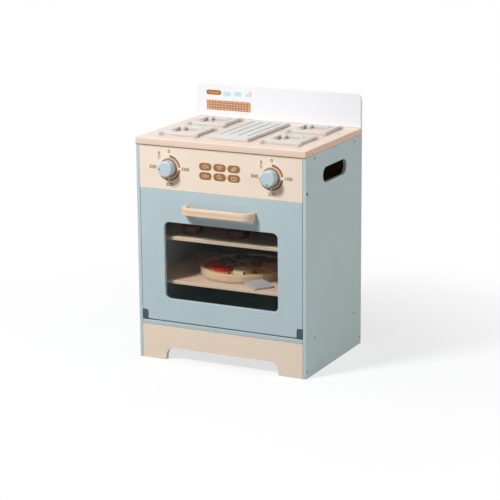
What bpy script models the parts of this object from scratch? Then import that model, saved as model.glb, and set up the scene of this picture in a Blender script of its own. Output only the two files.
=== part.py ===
"""Toy oven: a cabinet with a drop-down door, two turning knobs, a hob and play food.

Sizes are in metres. +Z is up and the front faces -Y. The origin lies on the floor under
the middle of the whole toy, the door handle included.
"""
import math

import bmesh
import bpy
from mathutils import Matrix, Vector

# Fits shared by all pieces
joint_gap = 0.0003
running_gap = 0.0004
cut_overrun = 0.002
board_edge_radius = 0.0010

# Cabinet
cabinet_width = 0.400
cabinet_depth = 0.292
side_thickness = 0.008
front_thickness = 0.010
worktop_thickness = 0.014
worktop_overhang = 0.002
plinth_height = 0.077
bottom_thickness = 0.009
back_thickness = 0.005
back_inset = 0.006
shelf_groove_depth = 0.003
back_groove_depth = 0.0036
rail_height = 0.016
rail_depth = 0.036

# Plinth arches
foot_width = 0.057
arch_height = 0.029
arch_radius = 0.020
foot_toe_radius = 0.003

# Hand holes in the sides
hand_hole_length = 0.122
hand_hole_height = 0.0335
hand_hole_drop = 0.0527

# Splashback
splash_height = 0.076
splash_thickness = 0.007
splash_corner_radius = 0.015
tab_width = 0.040
tab_depth = 0.010
tab_shoulder = 0.0015
tab_inset = 0.090

# Control panel and knobs
panel_height = 0.094
knob_inset = 0.0795
knob_rise = 0.0473
knob_radius = 0.017
knob_length = 0.020
knob_edge_radius = 0.003
knob_skirt_drop = 0.001
knob_standoff = 0.0006
pointer_radius = 0.0014
pointer_depth = 0.0012
pointer_reach = 0.0118
knob_bolt_radius = 0.003
knob_bolt_bite = 0.014
knob_bolt_head_radius = 0.0065
knob_bolt_head_thickness = 0.003
washer_radius = 0.0085
washer_thickness = 0.0015

# Door
door_height = 0.291
door_bottom_gap = 0.0025
door_top_gap = 0.0005
door_side_gap = 0.0007
pivot_height = 0.008
window_side_margin = 0.0568
window_top_margin = 0.0705
window_bottom_margin = 0.050
window_radius = 0.012
pane_thickness = 0.0025
pane_overlap = 0.008
hinge_width = 0.0135
hinge_height = 0.0205
hinge_corner_radius = 0.004
hinge_pin_radius = 0.002
hinge_pin_reach = 0.0045
stop_width = 0.015
stop_depth = 0.011
stop_height = 0.016
catch_width = 0.040
catch_height = 0.026
catch_depth = 0.012
catch_lap = 0.010
strike_width = 0.030
strike_height = 0.007
strike_thickness = 0.001

# Door handle
handle_length = 0.170
handle_height = 0.0165
handle_reach = 0.028
handle_bar = 0.010
handle_outer_radius = 0.022
handle_inner_radius = 0.012
handle_drop = 0.0378
handle_edge_radius = 0.002
handle_bolt_radius = 0.002
handle_bolt_bite = 0.012
handle_bolt_head_radius = 0.004
handle_bolt_head_thickness = 0.002

# Shelves
shelf_thickness = 0.008
shelf_front_inset = 0.020
shelf_lower_rise = 0.0815
shelf_pitch = 0.0975

# Case bolts
bolt_head_radius = 0.0035
bolt_head_thickness = 0.003
bolt_shank_radius = 0.002
bolt_length = 0.028
bolt_socket_apothem = 0.0015
bolt_socket_depth = 0.002
bolt_inset = 0.042
plinth_bolt_z = 0.0155
panel_bolt_rise = 0.0183

# Hob
hob_thickness = 0.007
griddle_width = 0.092
griddle_front_margin = 0.042
griddle_back_margin = 0.033
griddle_slot_width = 0.003
griddle_slot_pitch = 0.0215
griddle_slot_front_inset = 0.028
griddle_slot_back_inset = 0.020
griddle_slots = 4
griddle_corner_radius = 0.003
burner_offset_share = 0.6025
burner_front_share = 0.299
burner_rear_share = 0.739
burner_width = 0.0832
burner_ear_reach = 0.0069
burner_ear_cut = 0.0051
burner_hole_width = 0.064
burner_notch_radius = 0.0015
burner_finger_gap = 0.052
burner_finger_width = 0.0094
burner_finger_radius = 0.0044

# Play food
tray_front_room = 0.032
tray_back_room = 0.027
tray_sheet = 0.001
tray_lip_height = 0.0025
tray_lip_width = 0.004
pizza_margin = 0.010
pizza_x = -0.015
pizza_slices = 4
pizza_seam_angle = math.radians(-40.4)
crust_height = 0.016
crust_width = 0.009
crust_edge_radius = 0.003
topping_bed_drop = 0.003
topping_height = 0.0035
topping_sink = 0.001
muffin_radius = 0.025
muffin_taper = 0.003
muffin_height = 0.014
muffin_dome = 0.005
muffin_flutes = 24
muffin_flute_depth = 0.0009
muffin_inward = 0.073
muffin_left_x = -0.106
muffin_right_x = 0.006
server_length = 0.047
server_width = 0.043
server_thickness = 0.0035
server_corner_radius = 0.006
server_distance = 0.0282
server_bearing = math.radians(-49.9)
server_turn = math.radians(-36.4)

# Facets
fillet_steps = 5
circle_steps = 24
bolt_steps = 12
edge_segments = 2
sharp_edge_angle = math.radians(40)
smooth_angle = math.radians(35)
flute_smooth_angle = math.radians(50)
dome_shares = (1, 0.7, 0.35)

# Places worked out from the sizes above
front_y = (handle_reach - cabinet_depth) / 2
back_y = front_y + cabinet_depth
half_width = cabinet_width / 2
inner_half_width = half_width - side_thickness
bottom_top = plinth_height + bottom_thickness
door_bottom = bottom_top + door_bottom_gap
door_top = door_bottom + door_height
panel_bottom = door_top + door_top_gap
carcass_height = panel_bottom + panel_height
door_back_y = front_y + front_thickness
door_half_width = inner_half_width - door_side_gap
pivot_y = front_y + front_thickness / 2
pivot_z = door_bottom + pivot_height
worktop_top = carcass_height + joint_gap + worktop_thickness
back_panel_front = back_y - back_inset - back_thickness
hand_hole_z = carcass_height - hand_hole_drop
knob_offset = half_width - knob_inset
knob_z = panel_bottom + knob_rise
panel_bolt_z = panel_bottom + panel_bolt_rise
tab_offset = half_width - tab_inset
window_half_width = door_half_width - window_side_margin
window_low = door_bottom + window_bottom_margin
window_high = door_top - window_top_margin
shelf_lower_z = bottom_top + shelf_lower_rise
shelf_upper_z = shelf_lower_z + shelf_pitch
shelf_front_y = front_y + shelf_front_inset
shelf_back_y = back_panel_front - joint_gap
middle_y = front_y + cabinet_depth / 2
handle_z = door_top - handle_drop
tray_z = shelf_lower_z + shelf_thickness + joint_gap
tray_front_y = door_back_y + tray_front_room
tray_radius = (back_panel_front - tray_back_room - tray_front_y) / 2
pizza_z = tray_z + tray_sheet + joint_gap
pizza_y = tray_front_y + tray_radius
pizza_radius = tray_radius - pizza_margin
server_reach = pizza_radius + server_distance
server_run = server_reach + server_length / 2 - tray_radius
server_tilt = math.asin((tray_lip_height + 2 * joint_gap) / server_run)
muffin_z = shelf_upper_z + shelf_thickness + joint_gap
muffin_y = front_y + muffin_inward

blue_paint = (0.44, 0.56, 0.60)
side_paint = (0.38, 0.47, 0.49)
knob_paint = (0.48, 0.62, 0.68)
white_paint = (0.92, 0.93, 0.94)
grate_paint = (0.72, 0.73, 0.73)
pine = (0.80, 0.60, 0.44)
birch = (0.83, 0.69, 0.56)
hardboard = (0.30, 0.22, 0.16)
slate_plastic = (0.08, 0.10, 0.13)
steel = (0.60, 0.60, 0.60)
clear = (0.90, 0.94, 0.95)
tray_grey = (0.42, 0.42, 0.41)
server_grey = (0.52, 0.53, 0.53)
dough = (0.85, 0.66, 0.44)
chocolate = (0.12, 0.06, 0.05)

for old in list(bpy.data.objects):
    bpy.data.objects.remove(old, do_unlink=True)


def paint(obj, colour, roughness, metallic=0.0):
    """Gives the object its own Principled material."""
    material = bpy.data.materials.new(obj.name)
    material.use_nodes = True
    shader = material.node_tree.nodes["Principled BSDF"]
    shader.inputs["Base Color"].default_value = (*colour, 1.0)
    shader.inputs["Roughness"].default_value = roughness
    shader.inputs["Metallic"].default_value = metallic
    obj.data.materials.append(material)
    return obj


def to_object(name, bm):
    """Turns the bmesh into an object of the scene, with its faces pointing out."""
    bmesh.ops.recalc_face_normals(bm, faces=bm.faces[:])
    if bm.calc_volume(signed=True) < 0:
        bmesh.ops.reverse_faces(bm, faces=bm.faces[:])
    mesh = bpy.data.meshes.new(name)
    bm.to_mesh(mesh)
    bm.free()
    obj = bpy.data.objects.new(name, mesh)
    bpy.context.scene.collection.objects.link(obj)
    return obj


def place(first, second, axis, height):
    """The point that lies at (first, second) in the plane across the axis."""
    if axis == "X":
        return Vector((height, first, second))
    if axis == "Y":
        return Vector((first, height, second))
    return Vector((first, second, height))


def rounded(corners, radii, steps=fillet_steps):
    """The outline through the corners, each turned on an arc of its own radius."""
    points = []
    count = len(corners)
    for index in range(count):
        corner = Vector(corners[index])
        to_last = (Vector(corners[index - 1]) - corner).normalized()
        to_next = (Vector(corners[(index + 1) % count]) - corner).normalized()
        radius = radii[index]
        if radius <= 0:
            points.append(tuple(corner))
            continue
        half_angle = to_last.angle(to_next) / 2
        centre = corner + (to_last + to_next).normalized() * radius / math.sin(half_angle)
        start = corner + to_last * radius / math.tan(half_angle) - centre
        end = corner + to_next * radius / math.tan(half_angle) - centre
        sweep = math.pi - 2 * half_angle
        if start.x * end.y - start.y * end.x < 0:
            sweep = -sweep
        for step in range(steps + 1):
            turned_arm = start.copy()
            turned_arm.rotate(Matrix.Rotation(sweep * step / steps, 2))
            points.append(tuple(centre + turned_arm))
    return points


def rectangle(low_a, high_a, low_b, high_b, radius=0.0, steps=fillet_steps):
    """A rectangle's outline, with all four corners on one radius."""
    corners = [(low_a, low_b), (high_a, low_b), (high_a, high_b), (low_a, high_b)]
    return rounded(corners, [radius] * len(corners), steps)


def circle(centre_a, centre_b, radius, steps=circle_steps):
    """A circle's outline."""
    turns = [math.tau * step / steps for step in range(steps)]
    return [(centre_a + radius * math.cos(t), centre_b + radius * math.sin(t)) for t in turns]


def stadium(centre_a, centre_b, length, height, steps=fillet_steps):
    """The outline of a slot with half-round ends."""
    radius = height / 2
    reach = length / 2 - radius
    points = []
    for side in (1, -1):
        for step in range(2 * steps + 1):
            turn = math.pi * (step / (2 * steps) - side / 2)
            across = centre_a + side * reach + radius * math.cos(turn)
            points.append((across, centre_b + radius * math.sin(turn)))
    return points


def plate(name, outline, axis, low, high, holes=()):
    """A flat piece: the outline less its holes, extruded along the axis from low to high."""
    bm = bmesh.new()
    for loop in (outline, *holes):
        corners = [bm.verts.new(place(a, b, axis, low)) for a, b in loop]
        for first, second in zip(corners, corners[1:] + corners[:1]):
            bm.edges.new((first, second))
    if holes:
        bmesh.ops.triangle_fill(bm, use_beauty=True, edges=bm.edges[:])
    else:
        bm.faces.new(bm.verts[:])
    swept = bmesh.ops.extrude_face_region(bm, geom=bm.faces[:])
    moved = [item for item in swept["geom"] if isinstance(item, bmesh.types.BMVert)]
    bmesh.ops.translate(bm, verts=moved, vec=place(0, 0, axis, high - low))
    return to_object(name, bm)


def board(name, low, high):
    """A rectangular board between two corners."""
    outline = rectangle(low[0], high[0], low[1], high[1])
    return plate(name, outline, "Z", low[2], high[2])


def lofted(name, rings):
    """A closed skin over rings of equal count, where a ring of one point is a tip."""
    bm = bmesh.new()
    loops = [[bm.verts.new(point) for point in ring] for ring in rings]
    for lower, upper in zip(loops, loops[1:]):
        count = max(len(lower), len(upper))
        for index in range(count):
            after = (index + 1) % count
            if len(lower) == 1:
                bm.faces.new((lower[0], upper[index], upper[after]))
            elif len(upper) == 1:
                bm.faces.new((lower[index], lower[after], upper[0]))
            else:
                bm.faces.new((lower[index], lower[after], upper[after], upper[index]))
    return to_object(name, bm)


def turned(name, profile, steps=circle_steps):
    """A solid of revolution about +Z from (radius, height) pairs, open at neither end."""
    rings = []
    for radius, height in profile:
        if radius <= 0:
            rings.append([(0, 0, height)])
        else:
            rings.append([(a, b, height) for a, b in circle(0, 0, radius, steps)])
    return lofted(name, rings)


def tube(name, outer, inner, low, high, steps=circle_steps):
    """A plain ring about +Z."""
    hole = circle(0, 0, inner, steps)
    return plate(name, circle(0, 0, outer, steps), "Z", low, high, [hole])


def soften(obj, width, segments=edge_segments):
    """Rounds the sharp edges."""
    bevel = obj.modifiers.new("edge_radius", "BEVEL")
    bevel.width = width
    bevel.segments = segments
    bevel.limit_method = "ANGLE"
    bevel.angle_limit = sharp_edge_angle
    bevel.use_clamp_overlap = True
    return obj


def combine(obj, tool, operation):
    """Cuts the tool from the object or joins it on, and hides the tool."""
    tool.name = f"tool_{obj.name}_{len(obj.modifiers)}"
    tool.hide_render = True
    tool.display_type = "WIRE"
    step = obj.modifiers.new(tool.name, "BOOLEAN")
    step.operation = operation
    step.solver = "EXACT"
    step.object = tool
    return obj


def cut(obj, tool):
    return combine(obj, tool, "DIFFERENCE")


def join(obj, tool):
    return combine(obj, tool, "UNION")


def smooth(obj, angle=smooth_angle):
    """Shades round faces smooth and keeps the sharp edges sharp."""
    obj.data.shade_smooth()
    obj.data.set_sharp_from_angle(angle=angle)
    return obj


def axis_empty(name, location):
    """An empty that marks a moving piece's axis."""
    empty = bpy.data.objects.new(name, None)
    empty.location = location
    bpy.context.scene.collection.objects.link(empty)
    return empty


def hang(obj, empty):
    """Parents a piece, with the tools that cut it, to its axis and keeps it in place."""
    tools = [step.object for step in obj.modifiers if step.type == "BOOLEAN"]
    for item in [obj, *tools]:
        item.parent = empty
        item.matrix_parent_inverse = Matrix.Translation(empty.location).inverted()
    return obj


def set_at(obj, location, rotation=(0, 0, 0)):
    obj.location = location
    obj.rotation_euler = rotation
    return obj


def hex_bolt(name, head_radius, head_thickness, shank_radius, length):
    """A flat-head bolt with a hexagon socket: head top at 0, shank down -Z."""
    socket = []
    for step in range(bolt_steps):
        turn = math.tau * step / bolt_steps
        off_flat = (turn + math.pi / 6) % (math.pi / 3) - math.pi / 6
        reach = bolt_socket_apothem / math.cos(off_flat)
        socket.append((reach * math.cos(turn), reach * math.sin(turn)))
    rings = [[(0, 0, -bolt_socket_depth)]]
    rings.append([(a, b, -bolt_socket_depth) for a, b in socket])
    rings.append([(a, b, 0) for a, b in socket])
    outer = [(head_radius, 0), (head_radius, -head_thickness), (shank_radius, -head_thickness)]
    for radius, height in [*outer, (shank_radius, -length)]:
        rings.append([(a, b, height) for a, b in circle(0, 0, radius, bolt_steps)])
    rings.append([(0, 0, -length)])
    return paint(smooth(lofted(name, rings)), steel, 0.35, 1.0)


def case_bolt_places():
    """(name, distance behind the front, height) of each bolt through a side."""
    rail_z = carcass_height - rail_height / 2
    floor_z = plinth_height + bottom_thickness / 2
    return [
        ("top_front", bolt_inset, rail_z),
        ("top_rear", cabinet_depth - bolt_inset, rail_z),
        ("panel", front_thickness / 2, panel_bolt_z),
        ("bottom_front", bolt_inset, floor_z),
        ("bottom_rear", cabinet_depth - bolt_inset, floor_z),
        ("plinth_front", front_thickness / 2, plinth_bolt_z),
        ("plinth_rear", cabinet_depth - front_thickness / 2, plinth_bolt_z),
    ]


def case_bolt_hole(obj, side, inward, height):
    """Cuts the counterbore and the shank hole of one case bolt out of a piece."""
    face = side * half_width
    shank = circle(front_y + inward, height, bolt_shank_radius + joint_gap, bolt_steps)
    deep = face - side * (bolt_length + joint_gap)
    cut(obj, plate("tool", shank, "X", *sorted((deep, face + side * cut_overrun))))


def side_panel(side, word):
    """A painted side with its hand hole, shelf and back grooves, and bolt holes."""
    outer = side * half_width
    inner = side * inner_half_width
    low, high = sorted((outer, inner))
    hole = stadium(middle_y, hand_hole_z, hand_hole_length, hand_hole_height)
    outline = rectangle(front_y, back_y, 0, carcass_height)
    panel = plate(f"side_panel_{word}", outline, "X", low, high, [hole])
    soften(panel, board_edge_radius)
    groove = sorted((inner + side * shelf_groove_depth, inner - side * cut_overrun))
    for shelf_z in (shelf_upper_z, shelf_lower_z):
        outline = rectangle(
            shelf_front_y - joint_gap,
            back_panel_front + cut_overrun,
            shelf_z - joint_gap,
            shelf_z + shelf_thickness + joint_gap,
        )
        cut(panel, plate("tool", outline, "X", *groove))
    outline = rectangle(
        back_panel_front - joint_gap,
        back_panel_front + back_thickness + joint_gap,
        bottom_top,
        carcass_height + cut_overrun,
    )
    groove = sorted((inner + side * back_groove_depth, inner - side * cut_overrun))
    cut(panel, plate("tool", outline, "X", *groove))
    for _, inward, height in case_bolt_places():
        case_bolt_hole(panel, side, inward, height)
        head = circle(front_y + inward, height, bolt_head_radius + joint_gap, bolt_steps)
        floor = outer - side * (bolt_head_thickness + joint_gap)
        cut(panel, plate("tool", head, "X", *sorted((floor, outer + side * cut_overrun))))
    pin = circle(pivot_y, pivot_z, hinge_pin_radius + running_gap, bolt_steps)
    pocket = sorted((inner + side * (hinge_pin_reach + running_gap), inner - side * cut_overrun))
    cut(panel, plate("tool", pin, "X", *pocket))
    return paint(panel, side_paint, 0.55)


def between_sides(name, low_y, high_y, low_z, high_z):
    """A board that fits between the sides."""
    reach = inner_half_width - joint_gap
    return board(name, (-reach, low_y, low_z), (reach, high_y, high_z))


def bolted(obj, words):
    """Cuts the shank holes of the named case bolts into both ends of a piece."""
    for word, inward, height in case_bolt_places():
        if word in words:
            for side in (-1, 1):
                case_bolt_hole(obj, side, inward, height)
    return obj


def plinth(name, low_y, word):
    """A plinth board whose lower edge is cut away to an arch between two feet."""
    reach = inner_half_width - joint_gap
    inside = inner_half_width - foot_width
    corners = [
        (-reach, 0),
        (-inside, 0),
        (-inside, arch_height),
        (inside, arch_height),
        (inside, 0),
        (reach, 0),
        (reach, plinth_height - joint_gap),
        (-reach, plinth_height - joint_gap),
    ]
    toe = foot_toe_radius
    outline = rounded(corners, [0, toe, arch_radius, arch_radius, toe, 0, 0, 0])
    obj = plate(name, outline, "Y", low_y, low_y + front_thickness)
    return paint(bolted(obj, [word]), birch, 0.6)


def carcass():
    """Sides, bottom, rails, back, plinths and shelves."""
    side_panel(-1, "left")
    side_panel(1, "right")
    bottom = between_sides("bottom_panel", front_y, back_y, plinth_height, bottom_top)
    soften(bottom, board_edge_radius)
    paint(bolted(bottom, ["bottom_front", "bottom_rear"]), blue_paint, 0.55)
    plinth("plinth_front", front_y, "plinth_front")
    plinth("plinth_rear", back_y - front_thickness, "plinth_rear")
    for name, word, middle in [
        ("top_rail_front", "top_front", front_y + bolt_inset),
        ("top_rail_rear", "top_rear", back_y - bolt_inset),
    ]:
        low, high = middle - rail_depth / 2, middle + rail_depth / 2
        rail = between_sides(name, low, high, carcass_height - rail_height, carcass_height)
        paint(bolted(rail, [word]), pine, 0.6)
    reach = inner_half_width + back_groove_depth - joint_gap
    low = (-reach, back_panel_front, bottom_top + joint_gap)
    high = (reach, back_panel_front + back_thickness, carcass_height)
    paint(board("back_panel", low, high), hardboard, 0.7)
    reach = inner_half_width + shelf_groove_depth - joint_gap
    for name, shelf_z in (("shelf_upper", shelf_upper_z), ("shelf_lower", shelf_lower_z)):
        low = (-reach, shelf_front_y, shelf_z)
        high = (reach, shelf_back_y, shelf_z + shelf_thickness)
        paint(soften(board(name, low, high), board_edge_radius), birch, 0.6)


def splash_tab(grow):
    """The outlines, grown by a clearance, of the two tabs under the splashback."""
    low_y = back_y - splash_thickness + tab_shoulder - grow
    high_y = back_y - tab_shoulder + grow
    half = tab_width / 2 + grow
    return [
        rectangle(side * tab_offset - half, side * tab_offset + half, low_y, high_y)
        for side in (-1, 1)
    ]


def worktop():
    """The pine worktop with the two mortises that the splashback's tabs stand in."""
    low = (-half_width, front_y - worktop_overhang, carcass_height + joint_gap)
    top = board("worktop", low, (half_width, back_y, worktop_top))
    soften(top, board_edge_radius)
    for outline in splash_tab(joint_gap):
        low_z = worktop_top - tab_depth - joint_gap
        cut(top, plate("tool", outline, "Z", low_z, worktop_top + cut_overrun))
    return paint(top, pine, 0.5)


def splashback():
    """The white board at the back, with round upper corners and two tabs below."""
    low_z = worktop_top + joint_gap
    corners = [
        (-half_width, low_z),
        (half_width, low_z),
        (half_width, low_z + splash_height),
        (-half_width, low_z + splash_height),
    ]
    outline = rounded(corners, [0, 0, splash_corner_radius, splash_corner_radius])
    obj = plate("splashback", outline, "Y", back_y - splash_thickness, back_y)
    soften(obj, board_edge_radius)
    for outline in splash_tab(0):
        join(obj, plate("tool", outline, "Z", worktop_top - tab_depth, low_z + cut_overrun))
    return paint(obj, white_paint, 0.45)


def control_panel():
    """The front board behind the knobs."""
    reach = inner_half_width - joint_gap
    bore = knob_bolt_radius + running_gap
    holes = [circle(side * knob_offset, knob_z, bore) for side in (-1, 1)]
    outline = rectangle(-reach, reach, panel_bottom, carcass_height)
    obj = plate("control_panel", outline, "Y", front_y, door_back_y, holes)
    return paint(bolted(obj, ["panel"]), birch, 0.55)


def knob(side, word, pointer_angle):
    """A turning knob with its dimple, its bolt through the panel and its washer."""
    x = side * knob_offset
    axis = axis_empty(f"knob_{word}_axis", (x, front_y, knob_z))
    depth = knob_length
    small = knob_edge_radius
    profile = [(0, 0), (knob_radius - knob_skirt_drop, 0), (knob_radius, knob_skirt_drop)]
    for step in range(fillet_steps + 1):
        turn = math.pi / 2 * step / fillet_steps
        across = knob_radius - small + small * math.cos(turn)
        profile.append((across, depth - small + small * math.sin(turn)))
    profile.append((0, depth))
    forward = (math.pi / 2, 0, 0)
    seat = front_y - knob_standoff
    body = set_at(smooth(turned(f"knob_{word}", profile)), (x, seat, knob_z), forward)
    across = pointer_reach * math.cos(pointer_angle)
    up = pointer_reach * math.sin(pointer_angle)
    dimple = circle(x + across, knob_z + up, pointer_radius, bolt_steps)
    face = seat - knob_length
    cut(body, plate("tool", dimple, "Y", face - cut_overrun, face + pointer_depth))
    thread = circle(x, knob_z, knob_bolt_radius + joint_gap, bolt_steps)
    end = seat - knob_bolt_bite - joint_gap
    cut(body, plate("tool", thread, "Y", end, seat + cut_overrun))
    paint(body, knob_paint, 0.45)
    washer_y = door_back_y + joint_gap + washer_thickness
    bore = knob_bolt_radius + running_gap
    washer = tube(f"knob_washer_{word}", washer_radius, bore, 0, washer_thickness)
    paint(set_at(washer, (x, washer_y, knob_z), forward), white_paint, 0.5)
    head_y = washer_y + joint_gap + knob_bolt_head_thickness
    length = head_y - seat + knob_bolt_bite
    head = (knob_bolt_head_radius, knob_bolt_head_thickness)
    bolt = hex_bolt(f"knob_bolt_{word}", *head, knob_bolt_radius, length)
    set_at(bolt, (x, head_y, knob_z), (-math.pi / 2, 0, 0))
    hang(body, axis)
    hang(bolt, axis)


def hinge_outline(side, grow):
    """The moulded hinge block's outline in the door's lower corner."""
    edge = side * door_half_width
    inner = edge - side * (hinge_width + grow)
    top = door_bottom + hinge_height + grow
    low = door_bottom - (cut_overrun if grow else 0)
    outer = edge + side * (cut_overrun if grow else 0)
    corners = [(outer, low), (outer, top), (inner, top), (inner, low)]
    return rounded(corners, [0, 0, hinge_corner_radius, 0])


def door():
    """The drop-down door with its pane, handle, hinges and strike plate."""
    axis = axis_empty("door_axis", (0, pivot_y, pivot_z))
    half = window_half_width
    hole = rectangle(-half, half, window_low, window_high, window_radius)
    reach = door_half_width
    outline = rectangle(-reach, reach, door_bottom, door_top)
    panel = plate("door_panel", outline, "Y", front_y, door_back_y, [hole])
    soften(panel, board_edge_radius)
    lap = pane_overlap
    seat = rectangle(
        -half - lap, half + lap, window_low - lap, window_high + lap, window_radius + lap
    )
    pane_y = door_back_y - pane_thickness
    cut(panel, plate("tool", seat, "Y", pane_y - joint_gap, door_back_y + cut_overrun))
    for side in (-1, 1):
        tool = plate(
            "tool",
            hinge_outline(side, joint_gap),
            "Y",
            front_y - cut_overrun,
            door_back_y + cut_overrun,
        )
        cut(panel, tool)
    strike_half = strike_width / 2
    strike_top = door_top - (catch_lap - strike_height) / 2
    strike_low = strike_top - strike_height
    recess = rectangle(
        -strike_half - joint_gap,
        strike_half + joint_gap,
        strike_low - joint_gap,
        strike_top + joint_gap,
    )
    strike_y = door_back_y - strike_thickness
    cut(panel, plate("tool", recess, "Y", strike_y - joint_gap, door_back_y + cut_overrun))
    foot = handle_length / 2 - handle_bar / 2
    for side in (-1, 1):
        bore = circle(side * foot, handle_z, handle_bolt_radius + joint_gap, bolt_steps)
        outside = front_y - cut_overrun
        cut(panel, plate("tool", bore, "Y", outside, door_back_y + cut_overrun))
    hang(paint(panel, blue_paint, 0.55), axis)

    lap = pane_overlap - joint_gap
    outline = rectangle(
        -half - lap, half + lap, window_low - lap, window_high + lap, window_radius + lap
    )
    pane = plate("door_window", outline, "Y", pane_y, door_back_y)
    hang(paint(pane, clear, 0.05), axis)

    outline = rectangle(-strike_half, strike_half, strike_low, strike_top)
    strike = plate("strike_plate", outline, "Y", strike_y, door_back_y)
    hang(paint(strike, steel, 0.3, 1.0), axis)

    handle(axis, foot)
    for side, word in ((-1, "left"), (1, "right")):
        hinge(axis, side, word)


def handle(axis, foot):
    """The round-cornered handle bar and the two bolts that hold it from inside."""
    half = handle_length / 2
    near = front_y - joint_gap
    far = front_y - handle_reach
    corners = [
        (-half, near),
        (-half, far),
        (half, far),
        (half, near),
        (half - handle_bar, near),
        (half - handle_bar, far + handle_bar),
        (handle_bar - half, far + handle_bar),
        (handle_bar - half, near),
    ]
    outer, inner = handle_outer_radius, handle_inner_radius
    radii = [0, outer, outer, 0, 0, inner, inner, 0]
    low_z = handle_z - handle_height / 2
    outline = rounded(corners, radii, steps=2 * fillet_steps)
    bar = plate("door_handle", outline, "Z", low_z, low_z + handle_height)
    soften(bar, handle_edge_radius)
    head = (handle_bolt_head_radius, handle_bolt_head_thickness)
    head_y = door_back_y + joint_gap + handle_bolt_head_thickness
    tip_y = front_y - handle_bolt_bite
    for side, word in ((-1, "left"), (1, "right")):
        thread = circle(side * foot, handle_z, handle_bolt_radius + joint_gap, bolt_steps)
        cut(bar, plate("tool", thread, "Y", tip_y - joint_gap, near + cut_overrun))
        bolt = hex_bolt(f"handle_bolt_{word}", *head, handle_bolt_radius, head_y - tip_y)
        set_at(bolt, (side * foot, head_y, handle_z), (-math.pi / 2, 0, 0))
        hang(bolt, axis)
    hang(smooth(paint(bar, pine, 0.5)), axis)


def hinge(axis, side, word):
    """A moulded hinge block with its pin, and the stop block fixed behind it."""
    block = plate(
        f"hinge_block_{word}", hinge_outline(side, 0), "Y", front_y, door_back_y
    )
    start = side * (door_half_width - hinge_width / 2)
    tip = side * (inner_half_width + hinge_pin_reach)
    pin = circle(pivot_y, pivot_z, hinge_pin_radius, bolt_steps)
    join(block, plate("tool", pin, "X", *sorted((start, tip))))
    hang(paint(block, slate_plastic, 0.5), axis)
    near_y = door_back_y + joint_gap
    low_z = pivot_z + front_thickness / 2 + joint_gap
    wall = side * (inner_half_width - joint_gap)
    low_x, high_x = sorted((wall, wall - side * stop_width))
    low = (low_x, near_y, low_z)
    high = (high_x, near_y + stop_depth, low_z + stop_height)
    stop = soften(board(f"door_stop_{word}", low, high), board_edge_radius, 1)
    return paint(stop, pine, 0.6)


def magnet_catch():
    """The catch behind the control panel's lower edge, which the door closes against."""
    near_y = door_back_y + joint_gap
    low_z = door_top - catch_lap
    corners = [
        (near_y, low_z),
        (near_y + catch_depth / 2, low_z),
        (near_y + catch_depth, low_z + catch_depth / 2),
        (near_y + catch_depth, low_z + catch_height),
        (near_y, low_z + catch_height),
    ]
    half = catch_width / 2
    return paint(plate("magnet_catch", corners, "X", -half, half), slate_plastic, 0.5)


def case_bolts():
    """The bolts through both sides, heads flush in their counterbores."""
    head = (bolt_head_radius, bolt_head_thickness)
    for side, word in ((-1, "left"), (1, "right")):
        for label, inward, height in case_bolt_places():
            bolt = hex_bolt(f"bolt_{label}_{word}", *head, bolt_shank_radius, bolt_length)
            spot = (side * half_width, front_y + inward, height)
            set_at(bolt, spot, (0, side * math.pi / 2, 0))


def griddle():
    """The slotted plate in the middle of the hob."""
    low_y = front_y + griddle_front_margin
    high_y = back_y - splash_thickness - griddle_back_margin
    half = griddle_width / 2
    slots = []
    for index in range(griddle_slots):
        middle = griddle_slot_pitch * (index - (griddle_slots - 1) / 2)
        slots.append(
            rectangle(
                middle - griddle_slot_width / 2,
                middle + griddle_slot_width / 2,
                low_y + griddle_slot_front_inset,
                high_y - griddle_slot_back_inset,
            )
        )
    outline = rectangle(-half, half, low_y, high_y, griddle_corner_radius, 2)
    low_z = worktop_top + joint_gap
    obj = plate("griddle", outline, "Z", low_z, low_z + hob_thickness, slots)
    return paint(obj, grate_paint, 0.5)


def four_fold(quarter):
    """The points of one quarter, repeated round the origin."""
    turns = [Matrix.Rotation(index * math.pi / 2, 2) for index in range(4)]
    return [tuple(turn @ Vector(point)) for turn in turns for point in quarter]


def burner_outline():
    """A square with an ear that reaches out diagonally at each corner."""
    half = burner_width / 2
    tip = half + burner_ear_reach
    root = half - burner_ear_cut
    ear = [(tip - burner_ear_cut, -tip), (tip, burner_ear_cut - tip)]
    return four_fold([(-root, -half), (root, -half), *ear])


def burner_hole():
    """A square hole with a round-ended finger that reaches in diagonally from each corner."""
    wall = burner_hole_width / 2
    spread = burner_finger_width / 2 / math.sqrt(2)
    middle = burner_finger_gap / 2 / math.sqrt(2)
    notch = wall - 2 * spread
    quarter = [(wall, -notch), (wall, notch), (middle + spread, middle - spread)]
    quarter.append((middle - spread, middle + spread))
    small, large = burner_notch_radius, burner_finger_radius
    return rounded(four_fold(quarter), [small, small, large, large] * 4, 3)


def burners():
    """Four like grates, which share one mesh."""
    low_z = worktop_top + joint_gap
    mesh = None
    for row, share in (("front", burner_front_share), ("rear", burner_rear_share)):
        for side, word in ((-1, "left"), (1, "right")):
            name = f"burner_{row}_{word}"
            if mesh is None:
                hole = burner_hole()
                grate = plate(name, burner_outline(), "Z", 0, hob_thickness, [hole])
                mesh = paint(grate, grate_paint, 0.5).data
            else:
                grate = bpy.data.objects.new(name, mesh)
                bpy.context.scene.collection.objects.link(grate)
            x = side * burner_offset_share * half_width
            grate.location = (x, front_y + share * cabinet_depth, low_z)


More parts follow.
